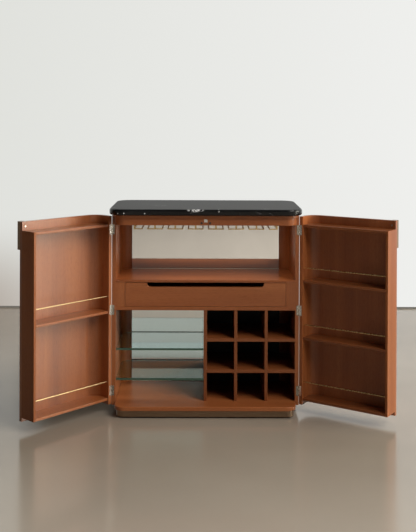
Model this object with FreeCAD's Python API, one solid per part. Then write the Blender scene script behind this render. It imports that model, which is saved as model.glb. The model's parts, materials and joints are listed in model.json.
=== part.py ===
import FreeCAD, Part
import math
import os
from FreeCAD import Vector

# Bar armoire with a stone top, two wrap-round doors that carry bottle shelves, a stemware rack, a drawer,
# glass shelves and a bottle rack. Millimetres, +Z up. The origin is on the floor at the middle of the plan,
# +X is to the right of someone who stands in front, and the front faces -Y.

# Stone top
top_width = 965.0
top_depth = 508.0
top_thickness = 32.0
top_edge_radius = 10.0
top_overhang = 7.5
overall_height = 1044.0

# Cabinet shell
corner_radius = 70.0
side_thickness = 20.0
back_thickness = 18.0
subtop_thickness = 11.0
subtop_inset = 9.0
header_height = 38.5
header_thickness = 20.0
ceiling_thickness = 14.0
bottom_thickness = 20.0
corner_ease = 0.5
edge_round = 1.5
bottom_edge_round = 3.0

# Plinth and glides
plinth_height = 31.0
plinth_inset = 10.0
plinth_band_thickness = 1.5
band_clearance = 0.1
glide_height = 8.0
glide_radius = 14.0
glide_inset = 60.0
glide_stem_radius = 4.0
glide_stem_length = 16.0
glide_stem_clearance = 0.1

# Doors
door_thickness = 18.0
door_gap = 2.0
door_wrap = 121.5
door_meeting_gap = 3.0
door_top_gap = 3.0
door_bottom_lift = 5.0
left_door_angle = 133.5
right_door_angle = 146.5

# Butt hinges
hinge_height = 50.0
hinge_leaf_thickness = 1.2
hinge_leaf_gap = 0.4
knuckle_side_gap = 0.3
hinge_axis_proud = 0.3
hinge_strap_reach = 3.0
hinge_leaf_margin = 5.0
hinge_top_inset = 69.0
hinge_bottom_inset = 68.0
knuckle_radius = 2.0
knuckle_count = 5
knuckle_gap = 0.15
hinge_pin_radius = 1.1
hinge_pin_clearance = 0.05
pin_head_height = 1.5
screw_head_radius = 2.6
screw_shank_radius = 1.4
screw_length = 16.0
screw_clearance = 0.05
screw_spread = 32.0

# Shelf boxes on the doors
box_board = 13.0
box_front_gap = 8.5
box_top_gap = 6.5
box_bottom_gap = 4.0
left_shelf_rise = 441.0
right_lower_shelf_rise = 310.0
right_upper_shelf_rise = 599.0
rod_radius = 3.0
rod_clearance = 0.05
rod_setback = 9.0
rod_socket_depth = 6.0
rod_rise_floor = 81.0
rod_rise_left = 73.0
rod_rise_right = 62.0

# Door pulls
pull_height = 136.0
pull_width = 28.0
pull_projection = 22.0
pull_round = 3.0
pull_screw_inset = 24.0
pull_screw_bite = 12.0

# Door catches and stop
magnet_radius = 5.5
magnet_length = 9.0
magnet_proud = 0.8
magnet_clearance = 0.05
magnet_spread = 42.0
magnet_drop = 27.0
strike_radius = 4.5
strike_thickness = 2.0
strike_proud = 0.7
stop_width = 17.0
stop_height = 15.0
stop_thickness = 1.2
stop_drop = 16.0

# Mirrors, counter and drawer housing
mirror_thickness = 6.0
mirror_side_gap = 5.0
counter_height = 672.0
counter_thickness = 12.0
drawer_opening_height = 122.0
deck_thickness = 19.0
stile_width = 46.0
stile_thickness = 18.0
partition_thickness = 16.0
partition_back_gap = 14.0

# Drawer
drawer_reveal = 1.5
drawer_front_thickness = 18.0
drawer_edge_round = 0.75
slot_width = 594.0
slot_depth = 22.0
slot_radius = 18.0
drawer_wall = 12.0
drawer_back_gap = 35.5
drawer_box_lift = 8.0
drawer_top_gap = 24.0
drawer_bottom_lift = 6.0
drawer_bottom_thickness = 6.0
drawer_groove_depth = 5.0
groove_clearance = 0.1

# Drawer runners
runner_space = 13.0
runner_height = 36.0
runner_back_gap = 10.0
runner_wall = 1.5
runner_clearance = 0.3

# Bottle rack
divider_thickness = 16.0
rack_columns = 3
rack_rows = 3
lap_clearance = 0.1

# Glass shelves and their pins
glass_thickness = 10.0
upper_glass_rise = 257.0
lower_glass_rise = 105.0
glass_side_gap = 2.0
glass_front_setback = 1.0
glass_back_gap = 10.5
glass_corner_ease = 5.0
glass_edge_round = 1.0
pin_radius = 2.5
pin_clearance = 0.05
pin_depth = 8.0
pin_reach = 12.0
pin_paddle_width = 9.0
pin_paddle_thickness = 2.5
pin_setback = 60.0

# Stemware rack
stem_pitch = 103.0
stem_rail_count = 8
stem_loop_width = 80.0
stem_bar_width = 6.0
stem_bar_thickness = 5.0
stem_post_width = 9.0
stem_post_depth = 6.0
stem_drop = 33.0
stem_back_gap = 27.5

# Planes that the pieces share
body_half_width = top_width / 2 - top_overhang
body_half_depth = top_depth / 2 - top_overhang
body_front = -body_half_depth
body_back = body_half_depth
inner_half_width = body_half_width - side_thickness
inner_back = body_back - side_thickness
inner_radius = corner_radius - side_thickness
back_face = body_back - back_thickness
board_back = min(inner_back, back_face)
mirror_face = back_face - mirror_thickness
core_inset = door_thickness + door_gap
core_half_width = body_half_width - core_inset
core_front = body_front + core_inset
core_radius = corner_radius - core_inset
interior_front = body_front + door_wrap
corner_x = body_half_width - corner_radius
corner_y = body_half_depth - corner_radius

top_underside = overall_height - top_thickness
subtop_underside = top_underside - subtop_thickness
header_underside = subtop_underside - header_height
plinth_top = glide_height + plinth_height
bottom_top = plinth_top + bottom_thickness
counter_underside = counter_height - counter_thickness
deck_top = counter_underside - drawer_opening_height
deck_underside = deck_top - deck_thickness

hinge_gap = 2 * hinge_leaf_thickness + hinge_leaf_gap
door_edge = interior_front - hinge_gap
door_free = -door_meeting_gap / 2
door_inner_face = body_front + door_thickness
door_inner_half_width = body_half_width - door_thickness
door_bottom = plinth_top + door_bottom_lift
door_top = subtop_underside - door_top_gap
hinge_x = -body_half_width - hinge_axis_proud
hinge_y = interior_front - hinge_gap / 2
hinge_low = door_bottom + hinge_bottom_inset
hinge_high = door_top - hinge_top_inset
hinge_levels = (hinge_low, (hinge_low + hinge_high) / 2, hinge_high)

box_bottom = bottom_top + box_bottom_gap
box_top = header_underside - box_top_gap
box_front = interior_front - box_front_gap

drawer_half_opening = inner_half_width - stile_width
drawer_half_width = drawer_half_opening - runner_space
drawer_box_front = interior_front + drawer_front_thickness
drawer_box_back = back_face - drawer_back_gap
drawer_low = deck_top + drawer_box_lift
drawer_high = counter_underside - drawer_top_gap
drawer_floor = drawer_low + drawer_bottom_lift
runner_reach = runner_space - 2 * runner_wall
divider_half = divider_thickness / 2
stem_rail_back = mirror_face - stem_back_gap

UP = Vector(0, 0, 1)
ACROSS = Vector(1, 0, 0)
BACK = Vector(0, 1, 0)
TOLERANCE = 1e-4


def block(x0, x1, y0, y1, z0, z1):
    """A rectangular board between two corners."""
    return Part.makeBox(x1 - x0, y1 - y0, z1 - z0, Vector(x0, y0, z0))


def rod(radius, start, direction, length):
    """A round bar from a start point along a direction."""
    return Part.makeCylinder(radius, length, start, direction)


def outline(corners):
    """A closed wire through (x, y, radius) corners, each rounded by its own radius."""
    points = [Vector(x, y, 0) for x, y, _ in corners]
    rounds = []
    for index, (_, _, radius) in enumerate(corners):
        corner = points[index]
        to_last = (points[index - 1] - corner).normalize()
        to_next = (points[(index + 1) % len(points)] - corner).normalize()
        if radius <= 0:
            rounds.append((corner, corner, None))
            continue
        half_angle = to_last.getAngle(to_next) / 2
        reach = radius / math.tan(half_angle)
        inward = (to_last + to_next).normalize()
        middle = corner + inward * (radius / math.sin(half_angle) - radius)
        rounds.append((corner + to_last * reach, corner + to_next * reach, middle))
    edges = []
    for index, (start, end, middle) in enumerate(rounds):
        if middle is not None:
            edges.append(Part.Arc(start, middle, end).toShape())
        following = rounds[(index + 1) % len(rounds)][0]
        if end.distanceToPoint(following) > TOLERANCE:
            edges.append(Part.LineSegment(end, following).toShape())
    return Part.Wire(edges)


def prism(corners, z0, z1):
    """A board of the given plan outline between two heights."""
    face = Part.Face(outline(corners))
    face.translate(UP * z0)
    return face.extrude(UP * (z1 - z0))


def rounded_plan(half_width, front, back, front_radius, back_radius):
    """The corners of a plan that is the same left and right."""
    return [
        (-half_width, front, front_radius),
        (half_width, front, front_radius),
        (half_width, back, back_radius),
        (-half_width, back, back_radius),
    ]


def mirrored(shape):
    """The same piece on the other side of the cabinet."""
    return shape.mirror(Vector(0, 0, 0), ACROSS)


def pair(shape):
    """A left piece and its right twin."""
    return [shape, mirrored(shape)]


def ease_front(board, front, radius, run=ACROSS):
    """Rounds the long front edges of a board, the ones that follow the run direction."""
    edges = []
    for edge in board.Edges:
        box = edge.BoundBox
        lies_in_front = abs(box.YMin - front) < TOLERANCE and abs(box.YMax - front) < TOLERANCE
        span = edge.Vertexes[-1].Point - edge.Vertexes[0].Point
        follows_run = span.Length - abs(span.dot(run)) < TOLERANCE
        if lies_in_front and follows_run:
            edges.append(edge)
    return board.makeFillet(radius, edges)


def stone_top():
    """Slab with rounded corners and a rounded edge above and below."""
    half_width = body_half_width + top_overhang
    half_depth = body_half_depth + top_overhang
    radius = corner_radius + top_overhang
    plan = rounded_plan(half_width, -half_depth, half_depth, radius, radius)
    slab = prism(plan, top_underside, overall_height)
    rim = [edge for edge in slab.Edges if edge.BoundBox.ZLength < TOLERANCE]
    return slab.makeFillet(top_edge_radius, rim)


def sub_top():
    """Recessed board under the stone, which makes the shadow line above the doors."""
    half_width = body_half_width - subtop_inset
    half_depth = body_half_depth - subtop_inset
    radius = corner_radius - subtop_inset
    plan = rounded_plan(half_width, -half_depth, half_depth, radius, radius)
    return prism(plan, subtop_underside, top_underside)


def header_rail():
    """Straight front rail under the sub-top, with pockets for the two catch magnets."""
    back = core_front + header_thickness
    rail = block(-corner_x, corner_x, core_front, back, header_underside, subtop_underside)
    rail = ease_front(rail, core_front, edge_round)
    for magnet in catch_magnets(magnet_clearance):
        rail = rail.cut(magnet)
    return rail


def header_corners():
    """Bent corner rails that carry the header round to the side panels."""
    inside_radius = core_radius - header_thickness
    plan = [
        (-corner_x, core_front, 0),
        (-corner_x, core_front + header_thickness, 0),
        (-core_half_width + header_thickness, core_front + header_thickness, inside_radius),
        (-core_half_width + header_thickness, interior_front, 0),
        (-core_half_width, interior_front, 0),
        (-core_half_width, core_front, core_radius),
    ]
    return pair(prism(plan, header_underside, subtop_underside))


def floor_board(front_inset, z0, z1):
    """A full-size board: a nose with rounded corners in front, and the part between the side panels."""
    nose_half_width = core_half_width - front_inset
    nose_front = core_front + front_inset
    nose_radius = core_radius - front_inset
    if front_inset > 0:
        nose_radius += corner_ease
    nose = prism(rounded_plan(nose_half_width, nose_front, interior_front, nose_radius, 0), z0, z1)
    return nose.fuse(inner_board(z0, z1)).removeSplitter()


def inner_board(z0, z1):
    """A board between the side panels, from the interior front to the rounded back corners."""
    radius = inner_radius + corner_ease
    return prism(rounded_plan(inner_half_width, interior_front, board_back, 0, radius), z0, z1)


def ceiling_panel():
    """Ceiling of the upper compartment, framed by the header."""
    return floor_board(header_thickness, header_underside, header_underside + ceiling_thickness)


def bottom_panel():
    """Floor of the cabinet, with rounded front corners that the doors close round."""
    board = floor_board(0, plinth_top, bottom_top)
    nose_edges = []
    for edge in board.Edges:
        flat = edge.BoundBox.ZLength < TOLERANCE
        if flat and edge.BoundBox.YMax < interior_front - TOLERANCE:
            nose_edges.append(edge)
    return board.makeFillet(bottom_edge_round, nose_edges)


def side_panel(pins):
    """Left side of the cabinet, cut for the hinges and drilled for any shelf pins."""
    panel = block(-body_half_width, -inner_half_width, interior_front, corner_y, plinth_top, subtop_underside)
    for cutter in case_screws(screw_clearance) + knuckle_rooms() + pins:
        panel = panel.cut(cutter)
    return panel


def back_corners():
    """Bent corners between the sides and the back."""
    plan = [
        (-body_half_width, corner_y, 0),
        (-inner_half_width, corner_y, 0),
        (-inner_half_width, inner_back, inner_radius),
        (-corner_x, inner_back, 0),
        (-corner_x, body_back, 0),
        (-body_half_width, body_back, corner_radius),
    ]
    return pair(prism(plan, plinth_top, subtop_underside))


def back_panel():
    """Flat back between the bent corners."""
    return block(-corner_x, corner_x, back_face, body_back, plinth_top, subtop_underside)


def plinth_plan(inset):
    """Plan of the plinth, set back by an inset from its own outside face."""
    half_width = core_half_width - plinth_inset - inset
    front = core_front + plinth_inset + inset
    radius = core_radius - plinth_inset - inset
    return rounded_plan(half_width, front, inner_back - inset, radius, radius)


def plinth_board():
    """Base board under the cabinet, drilled for the glides."""
    board = prism(plinth_plan(plinth_band_thickness + band_clearance), glide_height, plinth_top)
    for x, y in glide_places():
        stem_hole = glide_stem_radius + glide_stem_clearance
        board = board.cut(rod(stem_hole, Vector(x, y, glide_height), UP, glide_stem_length))
    return board


def plinth_band():
    """Bronze strip round the edge of the base board."""
    outer = prism(plinth_plan(0), glide_height, plinth_top)
    return outer.cut(prism(plinth_plan(plinth_band_thickness), glide_height, plinth_top))


def glide_places():
    """Plan places of the glides: one near each corner and one in the middle."""
    x = core_half_width - plinth_inset - glide_inset
    front = core_front + plinth_inset + glide_inset
    back = inner_back - glide_inset
    return [(0, 0), (-x, front), (x, front), (-x, back), (x, back)]


def floor_glides():
    """Low round glides with stems that go up into the base board."""
    glides = []
    for x, y in glide_places():
        foot = rod(glide_radius, Vector(x, y, 0), UP, glide_height)
        stem = rod(glide_stem_radius, Vector(x, y, glide_height), UP, glide_stem_length)
        glides.append(foot.fuse(stem))
    return glides


def catch_magnets(clearance=0):
    """Two round magnets let into the header, one for each door."""
    magnets = []
    height = subtop_underside - magnet_drop
    for x in (-magnet_spread / 2, magnet_spread / 2):
        start = Vector(x, core_front - magnet_proud, height)
        magnets.append(rod(magnet_radius + clearance, start, BACK, magnet_length + clearance))
    return magnets


def stop_plate():
    """Small metal plate on the header that both doors close against."""
    middle = subtop_underside - stop_drop
    low = middle - stop_height / 2
    high = middle + stop_height / 2
    return block(-stop_width / 2, stop_width / 2, core_front - stop_thickness, core_front, low, high)


def counter_panel():
    """Serving counter above the drawer."""
    board = inner_board(counter_underside, counter_height)
    return ease_front(board, interior_front, edge_round)


def drawer_deck():
    """Board under the drawer and over the lower compartments."""
    board = inner_board(deck_underside, deck_top)
    return ease_front(board, interior_front, edge_round)


def drawer_stiles():
    """Upright strips on both sides of the drawer front."""
    back = interior_front + stile_thickness
    stile = block(-inner_half_width, -drawer_half_opening, interior_front, back, deck_top, counter_underside)
    return pair(stile)


def drawer_partitions():
    """Upright boards behind the stiles that carry the drawer runners."""
    outside = -drawer_half_opening - partition_thickness
    front = interior_front + stile_thickness
    back = back_face - partition_back_gap
    return pair(block(outside, -drawer_half_opening, front, back, deck_top, counter_underside))


def centre_divider():
    """Upright board between the glass shelves and the bottle rack."""
    board = block(-divider_half, divider_half, interior_front, back_face, bottom_top, deck_underside)
    board = ease_front(board, interior_front, edge_round, UP)
    for pin in divider_pins(pin_clearance):
        board = board.cut(pin)
    return board


def rack_uprights():
    """Left faces of the uprights that stand in the bottle rack."""
    clear = inner_half_width - divider_half - (rack_columns - 1) * divider_thickness
    cell = clear / rack_columns
    return [divider_half + cell * step + divider_thickness * (step - 1) for step in range(1, rack_columns)]


def rack_levels():
    """Undersides of the shelves in the bottle rack."""
    clear = deck_underside - bottom_top - (rack_rows - 1) * divider_thickness
    cell = clear / rack_rows
    return [bottom_top + cell * step + divider_thickness * (step - 1) for step in range(1, rack_rows)]


def rack_middle():
    """Depth at which the rack's boards are half-lapped."""
    return (interior_front + mirror_face) / 2


def bottle_uprights():
    """Upright boards of the rack, slotted behind for the shelves."""
    uprights = []
    for left in rack_uprights():
        board = block(left, left + divider_thickness, interior_front, mirror_face, bottom_top, deck_underside)
        board = ease_front(board, interior_front, edge_round, UP)
        for low in rack_levels():
            high = low + divider_thickness + lap_clearance
            lap = block(left, left + divider_thickness, rack_middle(), mirror_face, low - lap_clearance, high)
            board = board.cut(lap)
        uprights.append(board)
    return uprights


def bottle_shelves():
    """Level boards of the rack, slotted in front for the uprights."""
    shelves = []
    for low in rack_levels():
        plan = [
            (divider_half, interior_front, 0),
            (inner_half_width, interior_front, 0),
            (inner_half_width, board_back, inner_radius + corner_ease),
            (corner_x - corner_ease, board_back, 0),
            (corner_x - corner_ease, mirror_face, 0),
            (divider_half, mirror_face, 0),
        ]
        high = low + divider_thickness
        board = ease_front(prism(plan, low, high), interior_front, edge_round)
        for left in rack_uprights():
            right = left + divider_thickness + lap_clearance
            board = board.cut(block(left - lap_clearance, right, interior_front, rack_middle(), low, high))
        shelves.append(board)
    return shelves


def bottle_rack_back():
    """Dark backing board behind the bottle rack."""
    return block(divider_half, corner_x - corner_ease, mirror_face, back_face, bottom_top, deck_underside)


def upper_mirror():
    """Mirror behind the serving counter."""
    half_width = corner_x - mirror_side_gap
    return block(-half_width, half_width, mirror_face, back_face, counter_height, header_underside)


def lower_mirror():
    """Mirror behind the glass shelves."""
    left = -corner_x + mirror_side_gap
    return block(left, -divider_half, mirror_face, back_face, bottom_top, deck_underside)


def stem_rail_places():
    """Middle of the posts of each stemware loop across the cabinet."""
    first = -(stem_rail_count - 1) / 2 * stem_pitch
    return [first + stem_pitch * step for step in range(stem_rail_count)]


def stemware_posts():
    """Posts of the stemware loops, fixed under the ceiling at the front and the back."""
    posts = []
    low = header_underside - stem_drop + stem_bar_thickness
    for x in stem_rail_places():
        left = x - stem_post_width / 2
        right = x + stem_post_width / 2
        for front in (interior_front, stem_rail_back - stem_post_depth):
            posts.append(block(left, right, front, front + stem_post_depth, low, header_underside))
    return posts


def stemware_loops():
    """Four bars brazed to a loop, which carry the feet of the glasses. The end ones reach inwards only."""
    bars = []
    low = header_underside - stem_drop
    high = low + stem_bar_thickness
    front = interior_front + stem_bar_width
    back = stem_rail_back - stem_bar_width
    places = stem_rail_places()
    for x in places:
        left = x - stem_post_width / 2 if x == places[0] else x - stem_loop_width / 2
        right = x + stem_post_width / 2 if x == places[-1] else x + stem_loop_width / 2
        for bar_front, bar_back in ((interior_front, front), (back, stem_rail_back)):
            bars.append(block(left, right, bar_front, bar_back, low, high))
        for bar_left in (left, right - stem_bar_width):
            bars.append(block(bar_left, bar_left + stem_bar_width, front, back, low, high))
    return bars


def glass_levels():
    """Undersides of the upper and the lower glass shelf."""
    return (bottom_top + upper_glass_rise, bottom_top + lower_glass_rise)


def pin_depths():
    """Front and back places of the shelf pins along the depth."""
    front = interior_front + glass_front_setback + pin_setback
    back = mirror_face - glass_back_gap - pin_setback
    return (front, back)


def pin_places():
    """Depth and height of the shelf pins on one wall."""
    return [(y, level) for level in glass_levels() for y in pin_depths()]


def pin_shank(wall, direction, y, level, clearance):
    """Shank of a shelf pin, from a wall's face into the wall."""
    start = Vector(wall, y, level - pin_radius)
    return rod(pin_radius + clearance, start, direction, pin_depth)


def wall_pins(clearance=0):
    """Shanks of the shelf pins in the left side panel."""
    return [pin_shank(-inner_half_width, ACROSS * -1, y, level, clearance) for y, level in pin_places()]


def divider_pins(clearance=0):
    """Shanks of the shelf pins in the centre divider."""
    return [pin_shank(-divider_half, ACROSS, y, level, clearance) for y, level in pin_places()]


def pin_paddle(left, y, level):
    """Flat end of a shelf pin under the glass."""
    half = pin_paddle_width / 2
    return block(left, left + pin_reach, y - half, y + half, level - pin_paddle_thickness, level)


def shelf_pins():
    """Shelf pins: a round shank in the wall and a flat paddle under the glass."""
    pins = []
    walls = ((-inner_half_width, wall_pins()), (-divider_half - pin_reach, divider_pins()))
    for left, shanks in walls:
        for shank, (y, level) in zip(shanks, pin_places()):
            pins.append(pin_paddle(left, y, level).fuse(shank))
    return pins


def glass_shelf(level):
    """Loose glass shelf with a rounded corner beside the bent back corner."""
    plan = [
        (-inner_half_width + glass_side_gap, interior_front + glass_front_setback, 0),
        (-divider_half - glass_side_gap, interior_front + glass_front_setback, 0),
        (-divider_half - glass_side_gap, mirror_face - glass_back_gap, 0),
        (-inner_half_width + glass_side_gap, mirror_face - glass_back_gap, inner_radius - glass_corner_ease),
    ]
    shelf = prism(plan, level, level + glass_thickness)
    return ease_front(shelf, interior_front + glass_front_setback, glass_edge_round)


def drawer_front():
    """Drawer front with a finger slot cut down from its top edge."""
    half_width = drawer_half_opening - drawer_reveal
    low = deck_top + drawer_reveal
    high = counter_underside - drawer_reveal
    back = drawer_box_front
    front = block(-half_width, half_width, interior_front, back, low, high)
    half_slot = slot_width / 2
    slot = Part.Face(outline([
        (-half_slot, high - slot_depth, slot_radius),
        (half_slot, high - slot_depth, slot_radius),
        (half_slot, high + slot_radius, 0),
        (-half_slot, high + slot_radius, 0),
    ]))
    slot.rotate(Vector(0, 0, 0), ACROSS, 90)
    slot.translate(BACK * back)
    front = front.cut(slot.extrude(BACK * -drawer_front_thickness))
    groove_half = drawer_half_width - drawer_wall + drawer_groove_depth + groove_clearance
    groove_low = drawer_floor - groove_clearance
    groove_high = drawer_floor + drawer_bottom_thickness + groove_clearance
    groove = block(-groove_half, groove_half, back - drawer_groove_depth, back, groove_low, groove_high)
    return ease_front(front.cut(groove), interior_front, drawer_edge_round)


def drawer_walls():
    """Two sides, grooved for the bottom, and the back that stands on the bottom."""
    outside = drawer_half_width
    inside = outside - drawer_wall
    front = drawer_box_front
    back = drawer_box_back
    floor_top = drawer_floor + drawer_bottom_thickness
    side = block(-outside, -inside, front, back, drawer_low, drawer_high)
    groove_side = -inside - drawer_groove_depth - groove_clearance
    groove_low = drawer_floor - groove_clearance
    side = side.cut(block(groove_side, -inside, front, back, groove_low, floor_top + groove_clearance))
    rear = block(-inside, inside, back - drawer_wall, back, floor_top, drawer_high)
    return pair(side) + [rear]


def drawer_bottom():
    """Thin bottom board that lies in the grooves of the front and the sides."""
    half_width = drawer_half_width - drawer_wall + drawer_groove_depth
    front = drawer_box_front - drawer_groove_depth
    high = drawer_floor + drawer_bottom_thickness
    return block(-half_width, half_width, front, drawer_box_back, drawer_floor, high)


def runner_channel(wall_x, reach, height, front):
    """Channel bar with its web against wall_x and its flanges along reach, which may be negative."""
    middle = (drawer_low + drawer_high) / 2
    low = middle - height / 2
    high = middle + height / 2
    back = drawer_box_back - runner_back_gap
    web = math.copysign(runner_wall, reach)
    left, right = sorted((wall_x, wall_x + reach))
    hollow_left, hollow_right = sorted((wall_x + web, wall_x + reach))
    bar = block(left, right, front, back, low, high)
    hollow = block(hollow_left, hollow_right, front, back, low + runner_wall, high - runner_wall)
    return bar.cut(hollow)


def drawer_runner_rails():
    """Fixed runner channels on the partitions."""
    front = interior_front + stile_thickness
    return pair(runner_channel(-drawer_half_opening, runner_reach, runner_height, front))


def drawer_runner_slides():
    """Moving runner channels on the drawer's sides, which run inside the fixed ones."""
    height = runner_height - 2 * runner_wall - 2 * runner_clearance
    return pair(runner_channel(-drawer_half_width, -runner_reach, height, drawer_box_front))


def knuckle_span(step):
    """Lower and upper end of a knuckle, measured from the middle of its hinge."""
    pitch = hinge_height / knuckle_count
    low = -hinge_height / 2 + pitch * step
    return (low + knuckle_gap / 2, low + pitch - knuckle_gap / 2)


def knuckle_room(reach):
    """Space that the knuckles of a left hinge turn in, at height 0, so far up and down."""
    radius = knuckle_radius + knuckle_side_gap
    return rod(radius, Vector(hinge_x, hinge_y, -reach), UP, 2 * reach)


def knuckle_rooms():
    """Space for the knuckles and pin heads of the left hinges, let into the edges beside them."""
    rooms = []
    for level in hinge_levels:
        room = knuckle_room(hinge_height / 2 + pin_head_height + knuckle_side_gap)
        room.translate(UP * level)
        rooms.append(room)
    return rooms


def hinge_leaf(near, far, steps):
    """Leaf of a left hinge at height 0: a plate between two depths and the knuckles of the given steps."""
    plate_right = -body_half_width + min(side_thickness, door_thickness) - hinge_leaf_margin
    half = hinge_height / 2
    leaf = block(-body_half_width, plate_right, near, far, -half, half).cut(knuckle_room(half))
    for step in steps:
        low, high = knuckle_span(step)
        barrel = rod(knuckle_radius, Vector(hinge_x, hinge_y, low), UP, high - low)
        strap = block(hinge_x, hinge_x + hinge_strap_reach, near, far, low, high)
        leaf = leaf.fuse(barrel).fuse(strap)
    bore = rod(hinge_pin_radius + hinge_pin_clearance, Vector(hinge_x, hinge_y, -half), UP, hinge_height)
    return leaf.cut(bore).removeSplitter()


def countersunk_screw(start, inward, length, clearance):
    """Screw with a countersunk head, from the middle of its head inwards."""
    head_radius = screw_head_radius + clearance
    shank_radius = screw_shank_radius + clearance
    head = Part.makeCone(head_radius, shank_radius, hinge_leaf_thickness, start, inward)
    return head.fuse(rod(shank_radius, start, inward, length)).removeSplitter()


def hinge_screw(face, inward, height, clearance):
    """Screw of a left hinge, from the leaf's face inwards."""
    x = -body_half_width + (min(side_thickness, door_thickness) - hinge_leaf_margin) / 2
    return countersunk_screw(Vector(x, face, height), inward, screw_length, clearance)


def case_face():
    """Depth of the open face of a leaf on the cabinet side."""
    return interior_front - hinge_leaf_thickness


def door_face():
    """Depth of the open face of a leaf on the door side, with the door closed."""
    return door_edge + hinge_leaf_thickness


def screw_heights():
    """Heights of all the screws in one row of hinges."""
    return [level + side * screw_spread / 2 for level in hinge_levels for side in (-1, 1)]


def case_screws(clearance=0):
    """Screws of the left hinges into the cabinet side."""
    return [hinge_screw(case_face(), BACK, height, clearance) for height in screw_heights()]


def door_screws(clearance=0):
    """Screws of the left hinges into the edge of the door."""
    return [hinge_screw(door_face(), BACK * -1, height, clearance) for height in screw_heights()]


def drilled_leaves(near, far, steps, screws):
    """One leaf at each hinge level, drilled for its screws."""
    leaves = []
    for level in hinge_levels:
        leaf = hinge_leaf(near, far, steps)
        leaf.translate(UP * level)
        for screw in screws:
            leaf = leaf.cut(screw)
        leaves.append(leaf)
    return leaves


def case_leaves():
    """Leaves of the left hinges on the cabinet, with the first, middle and last knuckles."""
    steps = range(0, knuckle_count, 2)
    return drilled_leaves(case_face(), interior_front, steps, case_screws(screw_clearance))


def door_leaves():
    """Leaves of the left hinges on the closed door, with the knuckles between."""
    steps = range(1, knuckle_count, 2)
    return drilled_leaves(door_edge, door_face(), steps, door_screws(screw_clearance))


def hinge_pins():
    """Pins of the left hinges, each with a flat head above and below."""
    pins = []
    reach = hinge_height / 2
    for level in hinge_levels:
        pin = rod(hinge_pin_radius, Vector(hinge_x, hinge_y, level - reach), UP, hinge_height)
        for low in (level - reach - pin_head_height, level + reach):
            pin = pin.fuse(rod(knuckle_radius, Vector(hinge_x, hinge_y, low), UP, pin_head_height))
        pins.append(pin)
    return pins


def pull_screws(clearance=0):
    """Two screws from inside a closed left door into its pull."""
    screws = []
    x = door_free - (box_board + pull_width) / 2
    length = door_thickness + pull_screw_bite
    for height in (door_top - pull_height + pull_screw_inset, box_top - pull_screw_inset):
        start = Vector(x, door_inner_face, height)
        screws.append(countersunk_screw(start, BACK * -1, length, clearance))
    return screws


def door_strike(clearance=0):
    """Metal disc let into the inner face of a closed left door, opposite its magnet."""
    start = Vector(-magnet_spread / 2, door_inner_face + strike_proud, subtop_underside - magnet_drop)
    return rod(strike_radius + clearance, start, BACK * -1, strike_thickness)


def door_panel(rods):
    """Closed left door: flat front, bent corner and a return along the cabinet side."""
    plan = [
        (door_free, body_front, 0),
        (door_free, door_inner_face, 0),
        (-door_inner_half_width, door_inner_face, corner_radius - door_thickness),
        (-door_inner_half_width, door_edge, 0),
        (-body_half_width, door_edge, 0),
        (-body_half_width, body_front, corner_radius),
    ]
    panel = prism(plan, door_bottom, door_top)
    for cutter in door_screws(screw_clearance) + pull_screws(screw_clearance) + knuckle_rooms() + rods:
        panel = panel.cut(cutter)
    return panel.cut(door_strike(screw_clearance))


def box_shelf(low):
    """Board across the box of a closed left door, which follows the door's bend."""
    plan = [
        (door_free - box_board, door_inner_face, 0),
        (door_free - box_board, box_front, 0),
        (-door_inner_half_width, box_front, 0),
        (-door_inner_half_width, door_inner_face, corner_radius - door_thickness + corner_ease),
    ]
    return ease_front(prism(plan, low, low + box_board), box_front, edge_round)


def box_side(rods):
    """Upright board of the box at the free edge of a closed left door."""
    board = block(door_free - box_board, door_free, door_inner_face, box_front, box_bottom, box_top)
    board = ease_front(board, box_front, edge_round, UP)
    for cutter in rods:
        board = board.cut(cutter)
    return board


def bottle_rods(heights, clearance=0):
    """Rods that keep bottles on the shelves of a closed left door, let into both ends of the box."""
    left = -door_inner_half_width - rod_socket_depth - clearance
    right = door_free - box_board + rod_socket_depth + clearance
    y = box_front - rod_setback
    return [rod(rod_radius + clearance, Vector(left, y, z), ACROSS, right - left) for z in heights]


def door_pull():
    """Upright bar pull on the outer face of a closed left door, level with its top and free edge."""
    front = body_front - pull_projection
    bar = block(door_free - pull_width, door_free, front, body_front, door_top - pull_height, door_top)
    outer = []
    for edge in bar.Edges:
        if edge.BoundBox.YMax < body_front - TOLERANCE:
            outer.append(edge)
    bar = bar.makeFillet(pull_round, outer)
    for cutter in pull_screws(screw_clearance):
        bar = bar.cut(cutter)
    return bar


def opened(shape, side):
    """A closed left piece swung to where its door stands at rest, on the left or the right."""
    pivot = Vector(hinge_x, hinge_y, 0)
    if side == "left":
        return shape.rotated(pivot, UP, -left_door_angle)
    return mirrored(shape.rotated(pivot, UP, -right_door_angle))


def door_pieces(side, shelves, rod_heights):
    """All the pieces that ride on one door, by name, at rest."""
    sockets = bottle_rods(rod_heights, rod_clearance)
    closed = {
        "door_panel": [door_panel(sockets)],
        "box_side": [box_side(sockets)],
        "box_top": [box_shelf(box_top - box_board)],
        "box_bottom": [box_shelf(box_bottom)],
        "bottle_rods": bottle_rods(rod_heights),
        "pull": [door_pull()],
        "strike": [door_strike()],
        "hinge_leaves": door_leaves(),
        "door_screws": door_screws() + pull_screws(),
    }
    for name, rise in shelves.items():
        closed[name] = [box_shelf(box_bottom + rise)]
    pieces = {}
    for name, shapes in closed.items():
        pieces[side + "_" + name] = [opened(shape, side) for shape in shapes]
    return pieces


def both_sides(shapes):
    """Left pieces together with their right twins."""
    return shapes + [mirrored(shape) for shape in shapes]


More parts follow.
